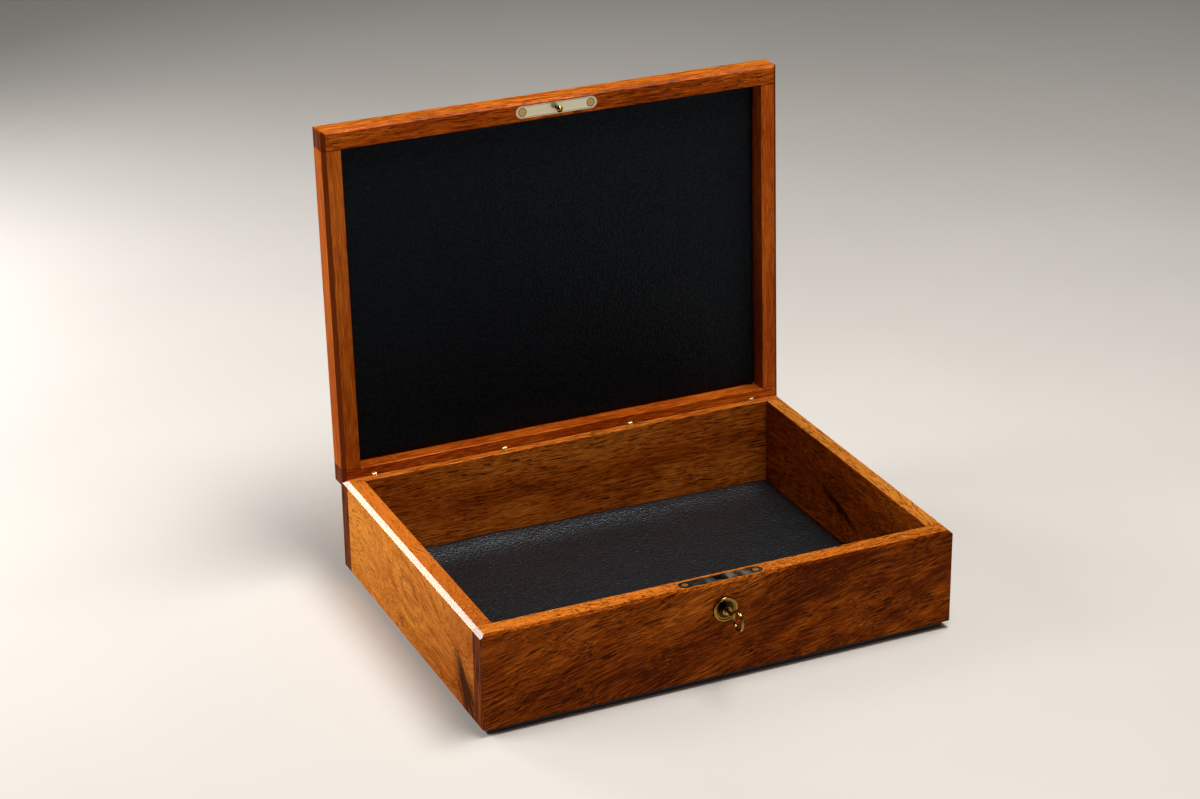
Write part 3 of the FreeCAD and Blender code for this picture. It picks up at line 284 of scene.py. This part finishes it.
    fibre = g.node("ShaderNodeVectorTransform", {"Vector": tuple(grain + Vector((0.02, 0.03, 0.01)))},
                   vector_type="VECTOR", convert_from="OBJECT", convert_to="WORLD").outputs[0]
    g.set("Tangent", g.vector("CROSS_PRODUCT", g.node("ShaderNodeNewGeometry").outputs["Normal"], fibre))
    g.set("Anisotropic", 0.8)
    slope = g.math("ADD", g.math("ABSOLUTE", g.along(facing, axes[0])), g.along(facing, axes[2]))
    chamfer = g.span(slope, 1.25, 1.38)
    g.set("Metallic", g.math("MULTIPLY", g.math("SUBTRACT", 1.0, cut_across), g.span(chamfer, 0, 1, 0.24, 0.04)))
    g.set("Roughness", g.span(streaks, 0.3, 0.7, 0.48, 0.36))
    g.set("Specular IOR Level", 0.0)
    g.set("Specular Tint", (1.0, 0.55, 0.20, 1))
    g.set("Coat Weight", g.span(chamfer, 0, 1, 0.045, 0.40))
    g.set("Coat Roughness", 0.05)
    relief = g.math("SUBTRACT", g.math("MULTIPLY", streaks, 0.25), pores)
    g.set("Normal", g.bump(relief, 0.03 * MM, g.span(chamfer, 0, 1, 0.5, 0.05)))
    return g.material


# Metal, leather, felt and board

def brass(name, colour, shade, roughness, brushed):
    """Brass with a drawn or polished surface; brushed is the strength of the fine scratches."""
    g = Graph(name, Metallic=1.0)
    place = g.place()
    tarnish = g.noise(g.place(size=(150, 150, 150), vector=place), 1.0, 4, 0.6)
    g.set("Base Color", g.ramp(tarnish, [(0.30, shade), (0.62, colour)]))
    scratches = g.noise(g.place(size=(300, 9000, 9000), vector=place), 1.0, 2, 0.6)
    g.set("Roughness", g.span(scratches, 0.25, 0.75, roughness * 0.75, roughness * 1.3))
    g.set("Normal", g.bump(scratches, 0.01 * MM, brushed))
    return g.material


def steel(name):
    g = Graph(name, Metallic=1.0)
    cloud = g.noise(g.place(), 220.0, 4, 0.6)
    g.set("Base Color", g.ramp(cloud, [(0.3, (0.30, 0.29, 0.27)), (0.7, (0.52, 0.51, 0.49))]))
    g.set("Roughness", g.span(cloud, 0.3, 0.7, 0.28, 0.42))
    return g.material


# The two ends of the hide's painted pebble shading: creases and tops.
LEATHER_DARK = (0.0010, 0.0012, 0.0016)
LEATHER_LIGHT = (0.0044, 0.0052, 0.0070)


def leather(name, gloss):
    """Black pebbled hide: rounded cells of uneven size with fine creases between them."""
    g = Graph(name)
    place = g.place()
    uneven = g.noise(g.place(size=(130, 130, 130), vector=place), 1.0, 3, 0.65, colour=True)
    bent = g.vector("ADD", place, g.place(move=(-0.0022, -0.0022, -0.0022), size=(0.0044,) * 3, vector=uneven))
    pebbles = g.cells(bent, 500.0, "SMOOTH_F1", smooth=0.30)
    grains = g.cells(bent, 1050.0, "SMOOTH_F1", smooth=0.30)
    fine = g.noise(bent, 2600.0, 3, 0.6)
    broad = g.noise(g.place(size=(30, 30, 30), vector=place), 1.0, 2, 0.5)
    dome = g.span(pebbles, 0.80, 0.10)
    height = g.math("ADD", dome, g.math("MULTIPLY", g.span(grains, 0.8, 0.1), 0.30))
    height = g.math("ADD", height, g.math("MULTIPLY", fine, 0.12))
    height = g.math("ADD", height, g.math("MULTIPLY", broad, 0.5))
    # The hide is lighter on the pebble tops and darker in the creases: painted light and shade of the pebbles.
    g.set("Base Color", g.ramp(dome, [(0.25, LEATHER_DARK), (0.95, LEATHER_LIGHT)]))
    g.set("Roughness", g.span(dome, 0.0, 1.0, 0.50, 0.33))
    g.set("Specular IOR Level", gloss)
    g.set("Specular Tint", (0.66, 0.84, 1.0, 1))
    g.set("Normal", g.bump(height, 0.36 * MM, 0.75))
    return g.material


def felt(name):
    g = Graph(name, Roughness=0.95)
    fibres = g.noise(g.place(size=(1400, 1400, 1400)), 1.0, 4, 0.7, distort=1.2)
    g.set("Base Color", g.ramp(fibres, [(0.3, (0.008, 0.008, 0.009)), (0.7, (0.035, 0.035, 0.038))]))
    g.set("Sheen Weight", 0.3)
    g.set("Normal", g.bump(fibres, 0.2 * MM, 0.6))
    return g.material


def painted_board(name, low, high, roughness):
    """A plain board whose faint fibres show through its paint."""
    g = Graph(name)
    fibres = g.noise(g.place(size=(60, 900, 900)), 1.0, 3, 0.6)
    g.set("Base Color", g.ramp(fibres, [(0.3, low), (0.7, high)]))
    g.set("Roughness", g.span(fibres, 0.2, 0.8, roughness, roughness + 0.12))
    g.set("Normal", g.bump(fibres, 0.05 * MM, 0.4))
    return g.material


def dress(material, *names):
    """Give CAD nodes a finish."""
    for name in names:
        for index in range(len(NODES[name].material_slots)):
            NODES[name].material_slots[index].material = material


def dress_wood():
    left_knot = ((-0.180, -0.107, 0.020), (0.050, 0.016, 0.040), 38)
    right_knot = ((0.166, 0.004, 0.037), (0.050, 0.034, 0.0055), -16)
    left_loops = ((-0.180, 0.004, 0.048), (0, 0.62, 1.0), 0.011, 0.060)
    front_loops = ((0.100, -0.136, -0.020), (0.8, 0, 1.0), 0.019, 0.120)
    # rim and rim_light_tint below paint the faces that look up lighter and tinted: painted light from above.
    rail_warmth = (1.0, 0.68, 0.45)
    # tone and drift here are partly painted light: the lit left board lighter toward its upper rear, the shaded front
    # board darker toward its right.
    dress(wood("wood_front_board", 1.0, slant=27, wander=5, tone_and_painted_light=-0.092, painted_light_drift=(-0.12, 0, 0), figure=0.85,
               warmth=(1.0, 0.93, 0.72), rim=0.20, rim_light_tint=(1.0, 0.82, 0.60), rings=front_loops), "front_board")
    dress(wood("wood_back_board", 2.0, slant=2, wander=3, tone_and_painted_light=0.03, figure=0.6, warmth=(1.0, 0.84, 0.66), rim=0.05),
          "back_board")
    dress(wood("wood_left_board", 3.0, along="Y", slant=-6, wander=12, tone_and_painted_light=0.085, painted_light_drift=(0, 0.50, 0.7), figure=0.7,
               contrast=0.78, pore=0.6, rim=0.02, rim_light_tint=(1.0, 0.74, 0.60), knot=left_knot, rings=left_loops),
          "left_board")
    dress(wood("wood_right_board", 4.0, along="Y", slant=4, wander=8, tone_and_painted_light=-0.03, figure=0.7,
               warmth=(1.0, 0.84, 0.7), rim=0.20, rim_light_tint=(1.0, 0.96, 0.85), knot=right_knot), "right_board")
    dress(wood("wood_lid_front_rail", 5.0, lid=True, wander=3, tone_and_painted_light=-0.03, figure=0.5, pore=0.8, rim=0.12,
               warmth=(1.0, 0.78, 0.5)), "lid_front_rail")
    dress(wood("wood_lid_back_rail", 6.0, lid=True, wander=3, tone_and_painted_light=0.03, figure=0.5, pore=0.4,
               warmth=rail_warmth), "lid_back_rail")
    dress(wood("wood_lid_left_rail", 7.0, along="Y", lid=True, wander=2, figure=0.5, contrast=0.55, tone_and_painted_light=0.04,
               pore=0.2, warmth=(1.0, 0.80, 0.6)), "lid_left_rail")
    dress(wood("wood_lid_right_rail", 8.0, along="Y", lid=True, wander=2, figure=0.5, contrast=0.6, tone_and_painted_light=0.04,
               pore=0.3, warmth=rail_warmth), "lid_right_rail")
    dress(wood("wood_lid_panel", 9.0, lid=True, wander=9, figure=0.75, warmth=(1.0, 0.86, 0.66)), "lid_panel")


def brass_plate(name, node, axes, colour, shade, roughness, worn):
    """Plate with round ends: a dark line just inside its edge, painted shadow round each screw,
    cloudy light and dark patches (painted reflections where colour and shade differ much) and fine scratches along it.

    worn is how far the polish differs from place to place, as a share of the roughness.
    """
    g = Graph(name, Metallic=1.0)
    low, high = oriented_box(node, axes)
    screws_low, screws_high = oriented_box(node + "_screws", axes)
    end_radius = (high.y - low.y) / 2
    screw_radius = (screws_high.y - screws_low.y) / 2
    along = g.math("ABSOLUTE", g.along(g.place(), axes[0]))
    across = g.math("SUBTRACT", g.along(g.place(), axes[1]), (low.y + high.y) / 2)
    beyond = g.math("MAXIMUM", g.math("SUBTRACT", along, high.x - end_radius), 0.0)
    reach = g.math("SQRT", g.math("ADD", g.math("POWER", beyond, 2), g.math("POWER", across, 2)))
    from_screw = g.math("SUBTRACT", along, screws_high.x - screw_radius)
    near = g.math("SQRT", g.math("ADD", g.math("POWER", from_screw, 2), g.math("POWER", across, 2)))
    cloud = g.noise(g.place(size=(90, 90, 90)), 1.0, 4, 0.6)
    line = g.math("MULTIPLY", g.span(reach, end_radius - 1.0 * MM, end_radius - 0.7 * MM),
                  g.span(reach, end_radius - 0.3 * MM, end_radius - 0.5 * MM))
    # Painted shadow round each screw, where its countersink would be in shade.
    screw_shadow_ring = g.math("MULTIPLY", g.span(near, screw_radius - 0.1 * MM, screw_radius + 0.1 * MM),
                  g.span(near, screw_radius + 1.1 * MM, screw_radius + 0.7 * MM))
    # Cloudy light and dark patches: painted reflections where colour and shade differ much.
    metal = g.ramp(cloud, [(0.36, shade), (0.60, colour)])
    g.set("Base Color", g.mix(g.math("MAXIMUM", g.math("MULTIPLY", line, 0.60), g.math("MULTIPLY", screw_shadow_ring, 0.85)),
                              metal, (0.14, 0.085, 0.025)))
    scratches = g.noise(g.place(size=(300, 9000, 9000)), 1.0, 2, 0.6)
    patches = g.noise(g.place(size=(140, 60, 60)), 1.0, 2, 0.5)
    g.set("Roughness", g.span(patches, 0.36, 0.66, roughness * (1 - worn), roughness * (1 + worn)))
    g.set("Normal", g.bump(scratches, 0.01 * MM, 0.25))
    return g.material


def brass_dish(name, centre):
    """Turned brass rose about the keyhole's centre: middle and rim in brass darkened as a painted dark reflection,
    and the dish between them painted darker still as painted shade and reflection.
    """
    g = Graph(name, Metallic=1.0)
    offset = g.place(size=(1, 0, 1), vector=g.vector("SUBTRACT", g.place(), centre))
    reach = g.vector("LENGTH", offset, (0, 0, 0))
    cloud = g.noise(g.place(size=(300, 300, 300)), 1.0, 3, 0.6)
    # The dish between middle and rim is painted dark: painted shade and reflection.
    hollow_shade = g.math("MULTIPLY", g.span(reach, 2.2 * MM, 3.2 * MM), g.span(reach, 7.2 * MM, 6.2 * MM))
    hollow_shade = g.math("MULTIPLY", hollow_shade, g.span(cloud, 0.25, 0.55, 0.80, 1.0))
    g.set("Base Color", g.mix(hollow_shade, (0.33, 0.185, 0.036), (0.036, 0.020, 0.006)))
    turned = g.noise(g.place(size=(1, 1, 1)), 2400.0, 2, 0.5)
    g.set("Roughness", g.span(turned, 0.3, 0.7, 0.12, 0.22))
    return g.material


def dress_metal():
    hinge = brass("brass_hinges", (0.80, 0.60, 0.28), (0.62, 0.44, 0.18), 0.24, 0.15)
    # Polished brass coloured far darker than brass: painted dark reflection.
    polished = brass("brass_polished", (0.40, 0.24, 0.058), (0.20, 0.11, 0.024), 0.10, 0.05)
    golden = brass("brass_golden", (0.92, 0.62, 0.23), (0.70, 0.43, 0.12), 0.30, 0.10)
    screws = brass("brass_screws", (0.98, 0.66, 0.22), (0.84, 0.52, 0.15), 0.36, 0.20)
    satin = brass_plate("brass_satin", "strike_plate", LID_AXES, (1.0, 0.93, 0.70), (1.0, 0.90, 0.64), 0.32, 0.05)
    # The lock plate's dark shade against its light colour gives cloudy painted reflections.
    plate = brass_plate("brass_lock_plate", "lock_plate", BOX_AXES, (0.92, 0.88, 0.72), (0.30, 0.27, 0.19), 0.28, 0.3)
    dress(hinge, *(name for name in NODES if name.startswith("hinge_")))
    dress(polished, "key", "lock_plug", "lock_bolt", "lock_posts", "strike_stud")
    dress(screws, "lock_plate_screws")
    dress(golden, "strike_plate_screws")
    low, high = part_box("escutcheon")
    dress(brass_dish("brass_dish", tuple((low + high) / 2)), "escutcheon")
    dress(satin, "strike_plate")
    dress(plate, "lock_plate")
    dress(steel("plated_steel"), "lock_case", "lock_cover", "base_screws")


def dress_base():
    dress(felt("black_felt"), "base_felt")
    dress(painted_board("black_board", (0.006, 0.005, 0.005), (0.014, 0.012, 0.011), 0.42), "base_panel")
    dress(painted_board("lining_board", (0.16, 0.12, 0.08), (0.26, 0.20, 0.14), 0.7), "floor_board", "lid_lining_board")


# Padded linings

PAD_EDGE = 2.4 * MM
PAD_CROWN = 0.5 * MM
PAD_CROWN_REACH = 22 * MM
PAD_CORNER = 3.0 * MM
PAD_STEP = 2.5 * MM
FLOOR_SWELL = {"rear": (7.5 * MM, 17 * MM), "right": (3.0 * MM, 10 * MM)}
LID_SWELL = {"rear": (1.2 * MM, 10 * MM), "right": (2.4 * MM, 9 * MM)}


def pad_lines(low, high):
    """Grid lines across a pad, close together where its edge turns over."""
    edge = [PAD_EDGE * (1 - math.cos(math.radians(angle))) for angle in range(0, 91, 15)]
    count = round((high - low - 2 * PAD_EDGE) / PAD_STEP)
    inner = [low + PAD_EDGE + (high - low - 2 * PAD_EDGE) * k / count for k in range(1, count)]
    return [low + step for step in edge] + inner + [high - step for step in reversed(edge)]


def pad_height(rim, full, spot):
    """Height of the hide over the board: a turned edge, a slight crown and soft ripples."""
    turn = min(rim / PAD_EDGE, 1)
    rounded = full * math.sqrt(max(0.0, 1 - (1 - turn) ** 2))
    crown = PAD_CROWN * (1 - math.exp(-rim / PAD_CROWN_REACH))
    ripple = noise.noise(spot * 75) * 0.16 * MM + noise.noise(spot * 21) * 0.22 * MM
    return rounded + (crown + ripple) * turn


def swell_height(swell, to_rear, to_right, across, spot):
    """Rise of the hide toward the rear and right walls, fuller at the left end of the rear and uneven along it."""
    uneven = 1 + 0.30 * noise.noise(spot * 22)
    rear_rise, rear_reach = swell["rear"]
    right_rise, right_reach = swell["right"]
    rear = rear_rise * (1 - 0.65 * across) * math.exp(-(to_rear / rear_reach) ** 2)
    right = right_rise * math.exp(-(to_right / right_reach) ** 2)
    return max(rear, right) * uneven


def leather_pad(name, node, axes, outward, material, body, swell):
    """Hide stretched over a thin pad, in the place of the node; outward is 1 or -1 along the third axis."""
    low, high = oriented_box(node, axes)
    board_level, full = (low.z, high.z - low.z) if outward > 0 else (high.z, high.z - low.z)
    mesh = bmesh.new()
    xs = pad_lines(low.x, high.x)
    ys = pad_lines(low.y, high.y)
    grid = []
    for x in xs:
        row = []
        for y in ys:
            rim_x = min(x - low.x, high.x - x)
            rim_y = min(y - low.y, high.y - y)
            rim = min(rim_x, rim_y)
            if rim_x < PAD_CORNER and rim_y < PAD_CORNER:
                rim = PAD_CORNER - math.hypot(PAD_CORNER - rim_x, PAD_CORNER - rim_y)
            spot = Vector((x, y, board_level))
            height = pad_height(max(rim, 0), full, spot)
            across = (x - low.x) / (high.x - low.x)
            height += swell_height(swell, high.y - y, high.x - x, across, spot) * min(max(rim, 0) / PAD_EDGE, 1)
            level = board_level + outward * height
            row.append(mesh.verts.new(axes[0] * x + axes[1] * y + axes[2] * level))
        grid.append(row)
    for i in range(len(xs) - 1):
        for j in range(len(ys) - 1):
            mesh.faces.new((grid[i][j], grid[i + 1][j], grid[i + 1][j + 1], grid[i][j + 1]))
    rim_verts = ([grid[i][0] for i in range(len(xs))] + [grid[-1][j] for j in range(1, len(ys))]
                 + [grid[i][-1] for i in range(len(xs) - 2, -1, -1)]
                 + [grid[0][j] for j in range(len(ys) - 2, 0, -1)])
    mesh.faces.new(list(reversed(rim_verts)))
    bmesh.ops.recalc_face_normals(mesh, faces=mesh.faces)
    data = bpy.data.meshes.new(name)
    mesh.to_mesh(data)
    mesh.free()
    data.polygons.foreach_set("use_smooth", [len(p.vertices) == 4 for p in data.polygons])
    data.materials.append(material)
    pad = bpy.data.objects.new(name, data)
    bpy.context.scene.collection.objects.link(pad)
    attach(pad, body)
    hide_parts(node)
    return pad


# Floor, light and camera

def make_floor():
    size = 7.0
    mesh = bmesh.new()
    bmesh.ops.create_grid(mesh, x_segments=8, y_segments=8, size=size)
    data = bpy.data.meshes.new("floor")
    mesh.to_mesh(data)
    mesh.free()
    g = Graph("pale_floor", Roughness=0.55)
    cloud = g.noise(g.place(), 3.0, 3, 0.5)
    g.set("Base Color", g.ramp(cloud, [(0.3, (0.64, 0.63, 0.62)), (0.7, (0.68, 0.67, 0.66))]))
    data.materials.append(g.material)
    floor = bpy.data.objects.new("floor", data)
    bpy.context.scene.collection.objects.link(floor)


def soft_light(name, place, aim, size, power, colour=(1, 1, 1)):
    """Rectangular soft box that faces a point."""
    data = bpy.data.lights.new(name, "AREA")
    data.shape = "RECTANGLE"
    data.size, data.size_y = size
    data.energy = power
    data.color = colour
    light = bpy.data.objects.new(name, data)
    light.location = place
    light.rotation_euler = (Vector(aim) - Vector(place)).to_track_quat("-Z", "Y").to_euler()
    bpy.context.scene.collection.objects.link(light)


def make_lights():
    world = bpy.data.worlds.new("studio")
    world.use_nodes = True
    background = world.node_tree.nodes["Background"]
    background.inputs["Color"].default_value = (1.0, 0.98, 0.96, 1)
    background.inputs["Strength"].default_value = 0.05
    bpy.context.scene.world = world
    centre = (0, 0, 0.08)
    soft_light("key_left", (-1.25, 0.45, 0.75), centre, (0.7, 0.7), 10.5, (1.0, 0.94, 0.86))
    soft_light("strip_back_left", (-0.72, 1.10, 0.47), (-0.18, 0.05, 0.07), (0.5, 0.22), 8, (1.0, 0.97, 0.93))
    soft_light("top", (0.28, -0.28, 1.5), centre, (1.0, 0.5), 27, (1.0, 0.95, 0.88))
    soft_light("front_fill", (0.9, -1.9, 0.7), centre, (1.2, 0.9), 2.5, (1.0, 0.95, 0.88))


CAMERA_PLACE = Vector((-0.78806, -1.69306, 0.98263))
CAMERA_FORWARD = Vector((0.37370, 0.83528, -0.40331))
CAMERA_ROLL = 0.764
FOCAL_LENGTH = 86.34
SENSOR_WIDTH = 36.0


def make_camera():
    data = bpy.data.cameras.new("camera")
    data.sensor_fit = "HORIZONTAL"
    data.sensor_width = SENSOR_WIDTH
    data.lens = FOCAL_LENGTH
    data.clip_end = 50
    camera = bpy.data.objects.new("camera", data)
    level = CAMERA_FORWARD.to_track_quat("-Z", "Y").to_matrix()
    roll = Matrix.Rotation(math.radians(CAMERA_ROLL), 3, CAMERA_FORWARD)
    camera.matrix_world = Matrix.Translation(CAMERA_PLACE) @ (roll @ level).to_4x4()
    bpy.context.scene.collection.objects.link(camera)
    bpy.context.scene.camera = camera


dress_wood()
dress_metal()
dress_base()
leather_pad("floor_lining", "floor_leather", BOX_AXES, 1, leather("black_leather", 0.80), "case", FLOOR_SWELL)
# The lid's copy of the hide has far less gloss so that it reads darker: a shaded copy of the same leather.
leather_pad("lid_lining", "lid_leather", LID_AXES, -1, leather("black_leather_lid_shaded", 0.15), "lid", LID_SWELL)
make_floor()
make_lights()
make_camera()
bpy.context.scene.view_settings.view_transform = "Standard"
